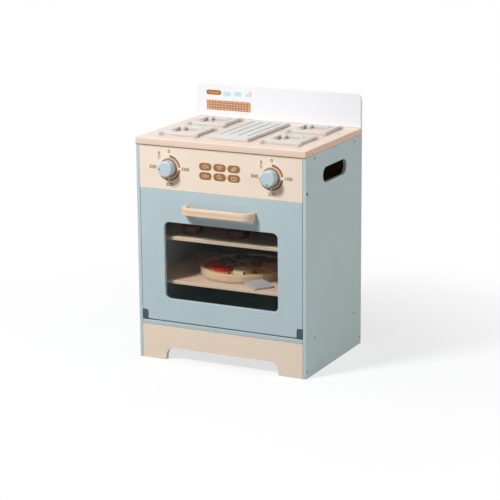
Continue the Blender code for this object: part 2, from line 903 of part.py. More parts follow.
def tray():
    """The round baking tray with a low lip."""
    inner = tray_radius - tray_lip_width
    profile = [
        (0, 0),
        (inner, 0),
        (tray_radius, tray_lip_height - tray_sheet),
        (tray_radius, tray_lip_height),
        (tray_radius - tray_sheet, tray_lip_height),
        (inner - tray_sheet, tray_sheet),
        (0, tray_sheet),
    ]
    obj = smooth(turned("pizza_tray", profile, 2 * circle_steps))
    return paint(set_at(obj, (pizza_x, pizza_y, tray_z)), tray_grey, 0.4)


def arc_points(radius, start, end, steps):
    """Points of an arc about the origin."""
    turns = [start + (end - start) * step / steps for step in range(steps + 1)]
    return [(radius * math.cos(t), radius * math.sin(t)) for t in turns]


def slice_solid(index):
    """One slice: a wedge whose bed lies lower than its rounded crust."""
    sweep = math.tau / pizza_slices
    middle = pizza_seam_angle + (index + 0.5) * sweep
    inset = joint_gap / 2 / math.sin(sweep / 2)
    steps = 2 * circle_steps // pizza_slices
    bed = crust_height - topping_bed_drop
    small = crust_edge_radius
    levels = [(pizza_radius - small, 0), (pizza_radius, small)]
    levels += [(pizza_radius, crust_height - small), (pizza_radius - small, crust_height)]
    levels += [(pizza_radius - crust_width + small, crust_height)]
    levels += [(pizza_radius - crust_width, bed)]
    bm = bmesh.new()
    half = sweep / 2
    rows = []
    for radius, height in levels:
        points = arc_points(radius, -half, half, steps)
        rows.append([bm.verts.new((a, b, height)) for a, b in points])
    low_tip = bm.verts.new((0, 0, 0))
    high_tip = bm.verts.new((0, 0, bed))
    for lower, upper in zip(rows, rows[1:]):
        for step in range(steps):
            bm.faces.new((lower[step], lower[step + 1], upper[step + 1], upper[step]))
    for step in range(steps):
        bm.faces.new((low_tip, rows[0][step + 1], rows[0][step]))
        bm.faces.new((high_tip, rows[-1][step], rows[-1][step + 1]))
    for end in (0, -1):
        bm.faces.new([low_tip, *[row[end] for row in rows], high_tip])
    obj = to_object(f"pizza_slice_{index + 1}", bm)
    spot = Vector((pizza_x, pizza_y, pizza_z))
    spot += Vector((math.cos(middle), math.sin(middle), 0)) * inset
    return set_at(smooth(obj), spot, (0, 0, middle))


# Each topping: its slice, its turn from the slice's middle and its distance out as
# shares of the half sweep and of the radius, and its radius as a share.
topping_shares = [
    (0, -0.55, 0.62, 0.14),
    (0, 0.45, 0.50, 0.16),
    (1, -0.50, 0.60, 0.17),
    (1, 0.40, 0.62, 0.16),
    (2, -0.45, 0.55, 0.17),
    (2, 0.50, 0.62, 0.18),
    (3, -0.62, 0.66, 0.18),
    (3, -0.02, 0.62, 0.18),
    (3, 0.60, 0.55, 0.16),
]


def pizza():
    """The slices with their toppings, each topping joined to its slice."""
    half = math.pi / pizza_slices
    bed = crust_height - topping_bed_drop
    slices = [slice_solid(index) for index in range(pizza_slices)]
    for index, turn_share, out_share, size_share in topping_shares:
        obj = slices[index]
        angle = obj.rotation_euler.z + turn_share * half
        reach = out_share * pizza_radius
        outline = circle(
            obj.location.x + reach * math.cos(angle),
            obj.location.y + reach * math.sin(angle),
            size_share * pizza_radius,
            bolt_steps,
        )
        low = pizza_z + bed - topping_sink
        join(obj, plate("tool", outline, "Z", low, pizza_z + bed + topping_height))
    for obj in slices:
        paint(obj, dough, 0.6)


def muffin(word, x):
    """A cake in a fluted case."""
    steps = 2 * muffin_flutes
    rings = [[(0, 0, 0)]]
    for share in (0, 1):
        radius = muffin_radius - muffin_taper * (1 - share)
        ring = []
        for step in range(steps):
            turn = math.tau * step / steps
            reach = radius - (step % 2) * muffin_flute_depth
            ring.append((reach * math.cos(turn), reach * math.sin(turn), share * muffin_height))
        rings.append(ring)
    lip = muffin_radius - muffin_taper
    for share in dome_shares:
        height = muffin_height + muffin_dome * math.sqrt(1 - share * share)
        circle_points = circle(0, 0, lip * share, steps)
        rings.append([(a, b, height) for a, b in circle_points])
    rings.append([(0, 0, muffin_height + muffin_dome)])
    obj = smooth(lofted(f"muffin_{word}", rings), flute_smooth_angle)
    return paint(set_at(obj, (x, muffin_y, muffin_z)), chocolate, 0.6)


def server():
    """The flat pizza server, leaning with one edge on the tray."""
    half_x, half_y = server_length / 2, server_width / 2
    outline = rectangle(-half_x, half_x, -half_y, half_y, server_corner_radius)
    obj = plate("pizza_server", outline, "Z", 0, server_thickness)
    rise = half_x * math.sin(server_tilt) + joint_gap
    low_z = shelf_lower_z + shelf_thickness + rise
    x = pizza_x + server_reach * math.cos(server_bearing)
    y = pizza_y + server_reach * math.sin(server_bearing)
    return paint(set_at(obj, (x, y, low_z), (0, server_tilt, server_turn)), server_grey, 0.5)


carcass()
worktop()
splashback()
control_panel()
knob(-1, "left", math.pi)
knob(1, "right", -math.pi / 2)
door()
magnet_catch()
case_bolts()
griddle()
burners()
tray()
pizza()
muffin("left", muffin_left_x)
muffin("right", muffin_right_x)
server()
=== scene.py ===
import math

import bmesh
import bpy
from mathutils import Matrix, Vector
from mathutils.noise import noise as noise_at


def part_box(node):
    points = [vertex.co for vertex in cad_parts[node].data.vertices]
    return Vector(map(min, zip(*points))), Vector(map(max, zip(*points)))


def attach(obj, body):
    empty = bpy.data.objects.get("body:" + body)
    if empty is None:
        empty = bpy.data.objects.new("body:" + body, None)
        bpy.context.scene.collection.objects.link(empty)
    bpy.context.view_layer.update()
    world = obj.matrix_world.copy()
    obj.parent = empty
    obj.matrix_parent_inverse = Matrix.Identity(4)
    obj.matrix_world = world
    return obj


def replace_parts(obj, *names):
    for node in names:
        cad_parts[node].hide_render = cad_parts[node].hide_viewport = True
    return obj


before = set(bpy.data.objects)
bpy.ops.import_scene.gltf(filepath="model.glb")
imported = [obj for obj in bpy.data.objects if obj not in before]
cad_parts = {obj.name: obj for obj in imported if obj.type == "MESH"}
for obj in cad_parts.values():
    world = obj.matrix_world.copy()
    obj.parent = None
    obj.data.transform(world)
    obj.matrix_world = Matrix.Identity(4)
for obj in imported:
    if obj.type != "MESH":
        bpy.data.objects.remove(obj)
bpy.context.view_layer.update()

# Sizes that more than one piece uses, in metres
print_thickness = 0.0001
second_layer = (print_thickness, 2 * print_thickness)
stroke_width = 0.0013
arc_steps = 24
round_steps = 64
bevel_segments = 3
sides = ("left", "right")

# Places taken from the CAD parts
panel_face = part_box("control_panel")[0].y
splash_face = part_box("splashback")[0].y
splash_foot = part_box("worktop")[1].z


def srgb(red, green, blue):
    """A colour as a screen shows it, from 0 to 255, in the linear values that a shader takes."""
    def linear(value):
        share = value / 255
        return share / 12.92 if share <= 0.04045 else ((share + 0.055) / 1.055) ** 2.4
    return (linear(red), linear(green), linear(blue), 1.0)


def scaled(tone, factor):
    """The colour made darker or lighter by a factor."""
    return tuple(min(1.0, value * factor) for value in tone[:3]) + (1.0,)


# Node helpers

def feed(tree, socket, value):
    """Links a socket, or sets its constant."""
    if isinstance(value, bpy.types.NodeSocket):
        tree.links.new(value, socket)
    else:
        socket.default_value = value


def wire(tree, node, inputs):
    """Feeds several inputs of one node."""
    for key, value in inputs.items():
        feed(tree, node.inputs[key], value)


def add(tree, kind, inputs=None, **settings):
    """A new shader node with its settings made and its inputs fed."""
    made = tree.nodes.new(kind)
    for key, value in settings.items():
        setattr(made, key, value)
    wire(tree, made, inputs or {})
    return made


def start(name):
    """A new material, with its nodes, its Principled shader and the place on the piece in metres."""
    material = bpy.data.materials.new(name)
    material.use_nodes = True
    tree = material.node_tree
    place = add(tree, "ShaderNodeTexCoord").outputs["Object"]
    return material, tree, tree.nodes["Principled BSDF"], place


def stretched(tree, vector, scale, location=(0, 0, 0)):
    """The vector scaled along each axis, then moved."""
    inputs = {"Vector": vector, "Location": location, "Scale": scale}
    return add(tree, "ShaderNodeMapping", inputs).outputs[0]


def noise(tree, vector, scale, detail=2.0, roughness=0.5, distortion=0.0):
    """A smooth noise round one half, whose scale counts its swells per metre."""
    inputs = {
        "Vector": vector,
        "Scale": scale,
        "Detail": detail,
        "Roughness": roughness,
        "Distortion": distortion,
    }
    return add(tree, "ShaderNodeTexNoise", inputs).outputs[0]


def maths(tree, operation, first, second=0.0):
    """The result of one operation on two values."""
    return add(tree, "ShaderNodeMath", {0: first, 1: second}, operation=operation).outputs[0]


def weighted(tree, first, first_share, second, second_share):
    """The sum of two values, each times its share."""
    one = maths(tree, "MULTIPLY", first, first_share)
    other = maths(tree, "MULTIPLY", second, second_share)
    return maths(tree, "ADD", one, other)


def remap(tree, value, low, high, to_low=0.0, to_high=1.0):
    """The value moved from one range to another, and kept inside it."""
    inputs = {"Value": value, 1: low, 2: high, 3: to_low, 4: to_high}
    return add(tree, "ShaderNodeMapRange", inputs).outputs[0]


def blend(tree, factor, first, second, mode="MIX"):
    """Two colours mixed by a factor."""
    settings = {"data_type": "RGBA", "blend_type": mode}
    return add(tree, "ShaderNodeMix", {0: factor, 6: first, 7: second}, **settings).outputs[2]


def ramp(tree, factor, stops):
    """A colour ramp through (position, colour) stops."""
    made = add(tree, "ShaderNodeValToRGB", {0: factor})
    elements = made.color_ramp.elements
    while len(elements) < len(stops):
        elements.new(0.5)
    for element, (position, tone) in zip(elements, stops):
        element.position = position
        element.color = tone
    return made.outputs[0]


def bump(tree, height, distance, strength, normal=None):
    """A normal that follows a height, whose full range is a distance in metres."""
    inputs = {"Height": height, "Distance": distance, "Strength": strength}
    if normal:
        inputs["Normal"] = normal
    return add(tree, "ShaderNodeBump", inputs).outputs[0]


# Wear, and shade painted into nooks, that several finishes share, in metres and as shares
noise_range = (0.3, 0.7)
edge_gain = 4.0
eased_radius = 0.0015
# Painted shade in nooks: how far it looks, the openness it works over, and its brown tint
nook_reach = 0.006
nook_range = (0.84, 0.985)
nook_shade_tint = (0.36, 0.25, 0.17, 1)


def edges(tree, radius):
    """A mask that rises to one along the piece's sharp edges."""
    soft = add(tree, "ShaderNodeBevel", {"Radius": radius}, samples=4).outputs[0]
    plain = add(tree, "ShaderNodeNewGeometry").outputs["Normal"]
    dot = add(tree, "ShaderNodeVectorMath", {0: soft, 1: plain}, operation="DOT_PRODUCT")
    away = maths(tree, "SUBTRACT", 1.0, dot.outputs["Value"])
    return remap(tree, away, 0.0, 1.0 / edge_gain)


def eased(tree):
    """The surface's normal, turned round sharp edges, as sanded and varnished wood has them."""
    return add(tree, "ShaderNodeBevel", {"Radius": eased_radius}, samples=6).outputs[0]


def painted_nook_shade(tree, colour, tone, unshaded_share):
    """The colour with painted shade: turned to a brown of its tone in narrow gaps and under ledges, where
    shadow falls.
    """
    open_share = add(tree, "ShaderNodeAmbientOcclusion", {"Distance": nook_reach}, samples=8).outputs["AO"]
    unshaded = remap(tree, open_share, *nook_range, unshaded_share, 1.0)
    # painted shade: a warm brown that stands for shadow lit by light bounced off the wood
    brown = tuple(value * share for value, share in zip(tone, nook_shade_tint))
    return blend(tree, unshaded, brown, colour)


def toned(tree, colour, factor):
    """The colour multiplied by a factor that varies over the surface."""
    grey = add(tree, "ShaderNodeCombineColor", {0: factor, 1: factor, 2: factor}).outputs[0]
    return blend(tree, 1.0, colour, grey, "MULTIPLY")


# Materials

worn_radius = 0.0012
worn_paleness = 1.5
peel_height = 0.00003


def painted(name, tone, roughness=0.48, mottle=0.035, rub=0.10, nook_shade=1.0):
    """Satin paint on board: faint mottling, fine orange peel, edges rubbed paler and painted shade in nooks.
    """
    material, tree, shader, place = start(name)
    wide = noise(tree, place, scale=9.0, detail=3.0)
    close = noise(tree, place, scale=70.0, detail=3.0, roughness=0.6)
    shade = remap(tree, weighted(tree, wide, 0.65, close, 0.35), *noise_range)
    colour = blend(tree, shade, scaled(tone, 1 - mottle), scaled(tone, 1 + mottle))
    worn = maths(tree, "MULTIPLY", edges(tree, worn_radius), rub)
    colour = blend(tree, worn, colour, scaled(tone, worn_paleness))
    # Painted shade: the colour turns brown in narrow gaps and under ledges, down to the given share of its
    # tone.
    if nook_shade < 1:
        colour = painted_nook_shade(tree, colour, tone, nook_shade)
    grain = noise(tree, place, scale=1400.0)
    gloss = remap(tree, close, *noise_range, roughness - 0.04, roughness + 0.05)
    normal = bump(tree, grain, peel_height, strength=0.5)
    wire(tree, shader, {"Base Color": colour, "Roughness": gloss, "Normal": normal})
    return material


# Values for wood. The scales are across the grain and along it.
far_pith = (0.11, 0.11, 0.07)
stave_shift = (0.10, 0.10, 0.10)
stave_shades = (0.95, 1.04)
wave_length = 0.314
ring_scales = (1.0, 0.045)
fibre_scales = (900.0, 14.0)
streak_scales = (60.0, 2.5)
ring_sharpness = 2.2
varnish_roughness = (0.42, 0.56)
coat_roughness = 0.4
grain_height = 0.00006


def along_grain(tree, place, axis, scales, location=(0, 0, 0)):
    """The place, scaled for a pattern that runs with the grain."""
    scale = [scales[0]] * 3
    scale[axis] = scales[1]
    return stretched(tree, place, scale, location)


def growth_rings(tree, place, along, spacing, pith):
    """Rings round a far pith, with a sharp step from one year to the next."""
    inputs = {
        "Vector": along_grain(tree, place, "XYZ".index(along), ring_scales, pith),
        "Scale": wave_length / spacing,
        "Distortion": 5.0,
        "Detail": 2.0,
        "Detail Scale": 0.35,
    }
    settings = {"wave_type": "RINGS", "rings_direction": along, "wave_profile": "SAW"}
    return add(tree, "ShaderNodeTexWave", inputs, **settings).outputs[1]


def end_grained(tree, colour, axis, rings, end_tones):
    """The colour, with rings in two strong tones on the faces that cut across the grain."""
    facing = add(tree, "ShaderNodeTexCoord").outputs["Normal"]
    end = maths(tree, "ABSOLUTE", add(tree, "ShaderNodeSeparateXYZ", {0: facing}).outputs[axis])
    ringed = blend(tree, remap(tree, rings, 0.2, 1.0), *end_tones)
    return blend(tree, remap(tree, end, 0.6, 0.9), colour, ringed)


def wooden(
    name,
    pale,
    dark,
    along="X",
    spacing=0.004,
    stave=0.06,
    depth=0.5,
    end_tones=None,
    pith=far_pith,
    coat=0.0,
):
    """Clear-varnished wood cut from one solid: growth rings round a far pith, and fibres."""
    material, tree, shader, place = start(name)
    axis = "XYZ".index(along)
    shares = add(tree, "ShaderNodeSeparateXYZ", {0: place}).outputs
    across = shares[1] if along != "Y" else shares[0]
    number = maths(tree, "FLOOR", maths(tree, "DIVIDE", across, stave))
    pick = add(tree, "ShaderNodeTexWhiteNoise", {"W": number}, noise_dimensions="1D").outputs
    shift = add(tree, "ShaderNodeVectorMath", {0: pick["Color"], 1: stave_shift}, operation="MULTIPLY")
    moved = add(tree, "ShaderNodeVectorMath", {0: place, 1: shift.outputs[0]}, operation="ADD").outputs[0]
    rings = growth_rings(tree, moved, along, spacing, pith)
    fibre = noise(tree, along_grain(tree, place, axis, fibre_scales), scale=1.0, detail=3.0, roughness=0.65)
    streak = noise(tree, along_grain(tree, moved, axis, streak_scales), scale=1.0, detail=3.0, roughness=0.6)
    mixed = weighted(tree, maths(tree, "POWER", rings, ring_sharpness), 0.55, streak, 0.45)
    ripple = maths(tree, "MULTIPLY", remap(tree, fibre, *noise_range, -1, 1), 0.10)
    mixed = maths(tree, "ADD", mixed, ripple)
    factor = maths(tree, "MULTIPLY", remap(tree, mixed, 0.15, 0.85), depth)
    shade = remap(tree, pick["Value"], 0.0, 1.0, *stave_shades)
    colour = toned(tree, blend(tree, factor, pale, dark), shade)
    if end_tones:
        colour = end_grained(tree, colour, axis, rings, end_tones)
    inputs = {
        "Base Color": colour,
        "Roughness": remap(tree, fibre, *noise_range, *varnish_roughness),
        "Coat Weight": coat,
        "Coat Roughness": coat_roughness,
        "Normal": bump(tree, mixed, grain_height, 0.6, eased(tree)),
    }
    wire(tree, shader, inputs)
    return material


def fibreboard(name, tone):
    """Pressed brown board with matted fibres."""
    material, tree, shader, place = start(name)
    matted = stretched(tree, place, (1, 1, 0.35))
    fibre = noise(tree, matted, scale=420.0, detail=4.0, roughness=0.7, distortion=1.5)
    cloud = noise(tree, place, scale=18.0, detail=3.0)
    mixed = weighted(tree, fibre, 0.7, cloud, 0.3)
    stops = [(0.3, scaled(tone, 0.72)), (0.55, tone), (0.75, scaled(tone, 1.45))]
    normal = bump(tree, fibre, 0.0002, strength=0.6)
    wire(tree, shader, {"Base Color": ramp(tree, mixed, stops), "Roughness": 0.75, "Normal": normal})
    return material


def moulded(name, tone):
    """Moulded plastic with a fine spark texture."""
    material, tree, shader, place = start(name)
    spark = noise(tree, place, scale=2600.0)
    cloud = noise(tree, place, scale=120.0)
    colour = blend(tree, cloud, scaled(tone, 0.88), scaled(tone, 1.14))
    worn = maths(tree, "MULTIPLY", edges(tree, radius=0.0008), 0.22)
    colour = blend(tree, worn, colour, scaled(tone, 2.2))
    gloss = remap(tree, spark, *noise_range, 0.40, 0.53)
    normal = bump(tree, spark, 0.00004, strength=0.6)
    wire(tree, shader, {"Base Color": colour, "Roughness": gloss, "Normal": normal})
    return material


def metallic(name, tone, roughness=0.32):
    """Plated or sheet metal, with rubbed marks."""
    material, tree, shader, place = start(name)
    marks = noise(tree, place, scale=500.0, detail=3.0, roughness=0.6)
    cloud = remap(tree, noise(tree, place, scale=40.0), *noise_range)
    inputs = {
        "Base Color": blend(tree, cloud, scaled(tone, 0.86), scaled(tone, 1.1)),
        "Roughness": remap(tree, marks, *noise_range, roughness - 0.08, roughness + 0.12),
        "Metallic": 1.0,
        "Normal": bump(tree, marks, 0.00003, strength=0.5),
    }
    wire(tree, shader, inputs)
    return material


def inked(name, tone, spotty=0.12):
    """Screen-printed ink, a little uneven where the board's pores show."""
    material, tree, shader, place = start(name)
    pores = noise(tree, place, scale=900.0, detail=3.0, roughness=0.7)
    cloud = noise(tree, place, scale=90.0)
    shade = remap(tree, maths(tree, "MULTIPLY", pores, cloud), 0.1, 0.4)
    colour = blend(tree, shade, scaled(tone, 1 - spotty), scaled(tone, 1 + spotty))
    normal = bump(tree, pores, 0.00002, strength=0.4)
    wire(tree, shader, {"Base Color": colour, "Roughness": 0.6, "Normal": normal})
    return material


def clear_pane(name):
    """A clear plastic sheet, with faint wiped streaks."""
    material, tree, shader, place = start(name)
    wipe = noise(tree, stretched(tree, place, (1, 1, 6)), scale=14.0, detail=3.0)
    inputs = {
        "Base Color": blend(tree, wipe, srgb(58, 72, 76), srgb(70, 84, 88)),
        "Roughness": remap(tree, wipe, *noise_range, 0.03, 0.09),
        "Alpha": 0.07,
        "Specular IOR Level": 0.12,
        "IOR": 1.49,
    }
    wire(tree, shader, inputs)
    return material


def melted(name, tone, brown):
    """Cheese with browned patches."""
    material, tree, shader, place = start(name)
    patches = noise(tree, place, scale=75.0, detail=4.0, roughness=0.6, distortion=0.6)
    fine = noise(tree, place, scale=420.0, detail=3.0, roughness=0.6)
    stops = [(0.36, scaled(tone, 1.12)), (0.52, tone), (0.66, brown)]
    inputs = {
        "Base Color": ramp(tree, patches, stops),
        "Roughness": remap(tree, fine, *noise_range, 0.36, 0.5),
        "Normal": bump(tree, patches, 0.0004, strength=0.5),
    }
    wire(tree, shader, inputs)
    return material


# Meshes

def in_scene(name, data):
    """A new object in the scene."""
    made = bpy.data.objects.new(name, data)
    bpy.context.scene.collection.objects.link(made)
    return made


def to_object(name, bm, material):
    """Turns the bmesh into an object of one material."""
    mesh = bpy.data.meshes.new(name)
    bm.to_mesh(mesh)
    bm.free()
    mesh.materials.append(material)
    return in_scene(name, mesh)


def to_piece(name, bm, material, body, auto_smooth=None):
    """Turns the bmesh into a piece that rides on a body."""
    bmesh.ops.recalc_face_normals(bm, faces=bm.faces[:])
    piece = to_object(name, bm, material)
    if auto_smooth is not None:
        piece.data.shade_smooth()
        piece.data.set_sharp_from_angle(angle=math.radians(auto_smooth))
    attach(piece, body)
    return piece


def slab(bm, outline, to_world, low=0, high=print_thickness, holes=()):
    """Adds the outline less its holes, as a slab between two depths in front of its face."""
    edges_made = []
    lower = []
    for loop in (outline, *holes):
        corners = [bm.verts.new(to_world(a, b, low)) for a, b in loop]
        lower += corners
        for first, second in zip(corners, corners[1:] + corners[:1]):
            edges_made.append(bm.edges.new((first, second)))
    if holes:
        filled = bmesh.ops.triangle_fill(bm, use_beauty=True, edges=edges_made)["geom"]
        faces = [item for item in filled if isinstance(item, bmesh.types.BMFace)]
    else:
        faces = [bm.faces.new(lower)]
    thicken(bm, faces, to_world, low, high)


def thicken(bm, faces, to_world, low, high):
    """Sweeps flat faces from one depth to another."""
    swept = bmesh.ops.extrude_face_region(bm, geom=faces)["geom"]
    raised = [item for item in swept if isinstance(item, bmesh.types.BMVert)]
    shift = Vector(to_world(0, 0, high)) - Vector(to_world(0, 0, low))
    bmesh.ops.translate(bm, verts=raised, vec=shift)


def plate(name, outline, to_world, material, body="root", low=0, high=print_thickness):
    """A piece that is one slab."""
    bm = bmesh.new()
    slab(bm, outline, to_world, low, high)
    to_piece(name, bm, material, body)


def soften(bm, rim, width):
    """Rounds the edges of a rim."""
    bmesh.ops.bevel(bm, geom=rim, offset=width, segments=bevel_segments, affect="EDGES", profile=0.5)


def skin(bm, rings):
    """Joins each closed ring of corners to the next."""
    for first, second in zip(rings, rings[1:]):
        for index in range(len(first)):
            after = (index + 1) % len(first)
            bm.faces.new((first[index], first[after], second[after], second[index]))


def on_front(face_y):
    """Maps (across, up, proud) to a place on a face that looks along -Y."""
    return lambda across, up, proud: (across, face_y - proud, up)


def at_turn(centre_a, centre_b, reach, turn):
    """The point at a reach and a turn from a centre."""
    return centre_a + reach * math.cos(turn), centre_b + reach * math.sin(turn)


def circle(centre_a, centre_b, radius, steps=round_steps):
    """The corners of a circle."""
    return [at_turn(centre_a, centre_b, radius, math.tau * step / steps) for step in range(steps)]


def arc(centre_a, centre_b, radius, start_turn, end_turn, steps=arc_steps):
    """The points of an arc, both ends included."""
    sweep = end_turn - start_turn
    turns = [start_turn + sweep * step / steps for step in range(steps + 1)]
    return [at_turn(centre_a, centre_b, radius, turn) for turn in turns]


def stadium(centre_a, centre_b, length, height):
    """A level oval with straight sides and round ends."""
    radius = height / 2
    reach = length / 2 - radius
    half_turn = arc_steps // 2
    right = arc(centre_a + reach, centre_b, radius, -math.pi / 2, math.pi / 2, half_turn)
    left = arc(centre_a - reach, centre_b, radius, math.pi / 2, 3 * math.pi / 2, half_turn)
    return right + left


def offset_line(points, width, closed):
    """The two sides of a stroke that follows the points."""
    left, right = [], []
    count = len(points)
    for index in range(count):
        here = Vector(points[index])
        before = Vector(points[index - 1]) if closed or index else here
        after = Vector(points[(index + 1) % count]) if closed or index < count - 1 else here
        along = (after - before).normalized()
        normal = Vector((-along.y, along.x)) * width / 2
        left.append(tuple(here + normal))
        right.append(tuple(here - normal))
    return left, right


def stroke(bm, points, width, to_world, low, high, closed):
    """A drawn line of even width."""
    left, right = offset_line(points, width, closed)
    if closed:
        slab(bm, left, to_world, low, high, [right])
    else:
        slab(bm, left + right[::-1], to_world, low, high)


# Prints on the control panel

numeral_height = 0.0072
numeral_width = 0.0057
numeral_weight = 0.010
numeral_curve_steps = 6


def numerals(name, text, centre, to_world, material):
    """A number of plain figures, fitted to its height and width."""
    curve = bpy.data.curves.new(name, "FONT")
    curve.body = text
    curve.offset = numeral_weight
    curve.resolution_u = numeral_curve_steps
    draft = bpy.data.objects.new(name, curve)
    flat = bpy.data.meshes.new_from_object(draft)
    bm = bmesh.new()
    bm.from_mesh(flat)
    bpy.data.objects.remove(draft)
    bpy.data.curves.remove(curve)
    bpy.data.meshes.remove(flat)
    lows = [min(v.co[i] for v in bm.verts) for i in (0, 1)]
    highs = [max(v.co[i] for v in bm.verts) for i in (0, 1)]
    width = numeral_width * len(text)
    for vertex in bm.verts:
        across = (vertex.co.x - lows[0]) / (highs[0] - lows[0]) - 0.5
        up = (vertex.co.y - lows[1]) / (highs[1] - lows[1]) - 0.5
        vertex.co = to_world(centre[0] + across * width, centre[1] + up * numeral_height, 0)
    thicken(bm, bm.faces[:], to_world, 0, print_thickness)
    to_piece(name, bm, material, "root")


dial_radius = 0.0255
dial_arc_width = 0.0050
dial_arc_taper = 0.2
dial_arcs = [(5, 83), (97, 175), (185, 265)]
dial_numbers = [("0", 0.001, 0.036), ("100", 0.040, 0), ("200", 0.001, -0.0355), ("300", -0.0385, 0)]
thermometer_across = -0.023
thermometer_foot = 0.0205
thermometer_height = 0.0138
neck_top = 0.55 * thermometer_height
arrow_foot = 0.74 * thermometer_height
bulb_radius = 0.0024
neck_radius = 0.75 * bulb_radius
bulb_arc = (math.radians(130), math.radians(410))
bulb_steps = 16
neck_steps = 10
thermometer_line = 0.0009
arrow_size = 0.0046


def tapered_arc(bm, centre, start_degrees, end_degrees, to_world):
    """A scale mark that thins out clockwise, measured in degrees clockwise from the top."""
    outer, inner = [], []
    for step in range(arc_steps + 1):
        share = step / arc_steps
        turn = math.radians(90 - (start_degrees + (end_degrees - start_degrees) * share))
        half = dial_arc_width / 2 * (1 - dial_arc_taper * share)
        for side, points in ((1, outer), (-1, inner)):
            points.append(at_turn(*centre, dial_radius + side * half, turn))
    slab(bm, outer + inner[::-1], to_world)


def dial(side, material, numeral_material):
    """The printed scale round one knob."""
    low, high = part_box(f"knob_{side}")
    centre = ((low.x + high.x) / 2, (low.z + high.z) / 2)
    to_world = on_front(panel_face)
    bm = bmesh.new()
    for first, last in dial_arcs:
        tapered_arc(bm, centre, first, last, to_world)
    to_piece(f"dial_scale_{side}", bm, material, "root")
    for text, across, up in dial_numbers:
        spot = (centre[0] + across, centre[1] + up)
        numerals(f"dial_{text}_{side}", text, spot, to_world, numeral_material)
    thermometer(side, centre, material, to_world)


def thermometer(side, centre, material, to_world):
    """The outline of a thermometer with an arrow over it, beside the scale."""
    across = centre[0] + thermometer_across
    foot = centre[1] + thermometer_foot
    rim = arc(across, foot, bulb_radius, *bulb_arc, bulb_steps)
    top = foot + neck_top
    rim += arc(across, top, neck_radius, 0, math.pi, neck_steps)
    bm = bmesh.new()
    stroke(bm, rim, thermometer_line, to_world, 0, print_thickness, closed=True)
    head = foot + arrow_foot
    half = arrow_size / 2
    arrow = [(across - half, head), (across + half, head), (across, head + arrow_size)]
    slab(bm, arrow, to_world)
    to_piece(f"dial_thermometer_{side}", bm, material, "root")


# Badges. Each picture is a list of strokes, in metres from its badge's centre, with whether each closes.

pill_length = 0.0295
pill_height = 0.016
pill_columns = (-0.033, 0.0007, 0.034)
pill_rows = (0.4373, 0.4172)
lens_steps = 10


def lens(centre_a, centre_b, length, height, tilt=0):
    """A leaf-shaped outline of two arcs, tilted by some degrees."""
    half, rise = length / 2, height / 2
    turn = math.radians(tilt)
    points = []
    for side in (1, -1):
        for step in range(lens_steps):
            share = step / lens_steps * 2 - 1
            a, b = side * share * half, side * rise * (1 - share * share)
            x = a * math.cos(turn) - b * math.sin(turn)
            y = a * math.sin(turn) + b * math.cos(turn)
            points.append((centre_a + x, centre_b + y))
    return points


def fish_picture():
    """A fish: a body and a tail."""
    tail = [(0.0035, 0), (0.0068, 0.0026), (0.0068, -0.0026)]
    return [(lens(-0.0014, 0, 0.0112, 0.0064), True), (tail, True)]


def wedge_picture():
    """A slice of pie with one round topping."""
    crust = arc(0, -0.0085, 0.0125, math.radians(58), math.radians(122), 10)
    return [(crust + [(0, -0.0036)], True), (circle(0, 0.0008, 0.0008, 8), True)]


def leaf_picture():
    """A leaf with its rib."""
    rib = [(-0.0064, -0.0034), (0, 0), (0.0030, 0.0018)]
    return [(lens(0, 0, 0.0128, 0.0062, tilt=30), True), (rib, False)]


def sweet_picture():
    """A wrapped sweet."""
    strokes = [(circle(0, 0, 0.0027, 16), True)]
    for side in (-1, 1):
        wing = [(side * 0.0028, 0), (side * 0.0070, 0.0027), (side * 0.0070, -0.0027)]
        strokes.append((wing[::side], True))
    return strokes


def drumstick_picture():
    """A drumstick: the meat and its bone."""
    bone = [(0.0016, -0.0010), (0.0058, -0.0034)]
    return [(circle(-0.0018, 0.0006, 0.0034, 16), True), (bone, False)]


def loaf_picture():
    """A slice of a loaf."""
    crust = arc(-0.0030, 0.0002, 0.0030, math.radians(90), math.radians(200), 8)
    crust += [(-0.0052, -0.0036), (0.0052, -0.0036)]
    crust += arc(0.0030, 0.0002, 0.0030, math.radians(-20), math.radians(90), 8)
    slash = [(-0.0012, 0.0008), (0.0012, -0.0016)]
    return [(crust, True), (slash, False)]


pictures = [fish_picture, wedge_picture, leaf_picture, sweet_picture, drumstick_picture, loaf_picture]


def pills(material, picture_material):
    """Six oval badges, each with a simple picture of food."""
    to_world = on_front(panel_face)
    spots = [(x, z) for z in pill_rows for x in pill_columns]
    for index, ((x, z), picture) in enumerate(zip(spots, pictures)):
        plate(f"badge_{index + 1}", stadium(x, z, pill_length, pill_height), to_world, material)
        bm = bmesh.new()
        for points, closed in picture():
            placed = [(x + a, z + b) for a, b in points]
            stroke(bm, placed, stroke_width, to_world, *second_layer, closed)
        to_piece(f"badge_picture_{index + 1}", bm, picture_material, "root")


# Prints on the splashback, in metres across from its middle and up from its foot

splash_oval = (-0.159, 0.0555)
splash_oval_size = (0.0383, 0.011)
splash_dots = 5
dot_pitch = 0.0052
dot_radius = 0.0011
dot_steps = 16
splash_buttons = ((-0.1258, 0.054), (-0.0984, 0.055))
button_size = (0.020, 0.010)
splash_bars = 4
bar_left = -0.0795
bar_width = 0.0021
bar_pitch = 0.0041
bar_low = 0.0505
bar_high = 0.0550
bar_rise = 0.0031


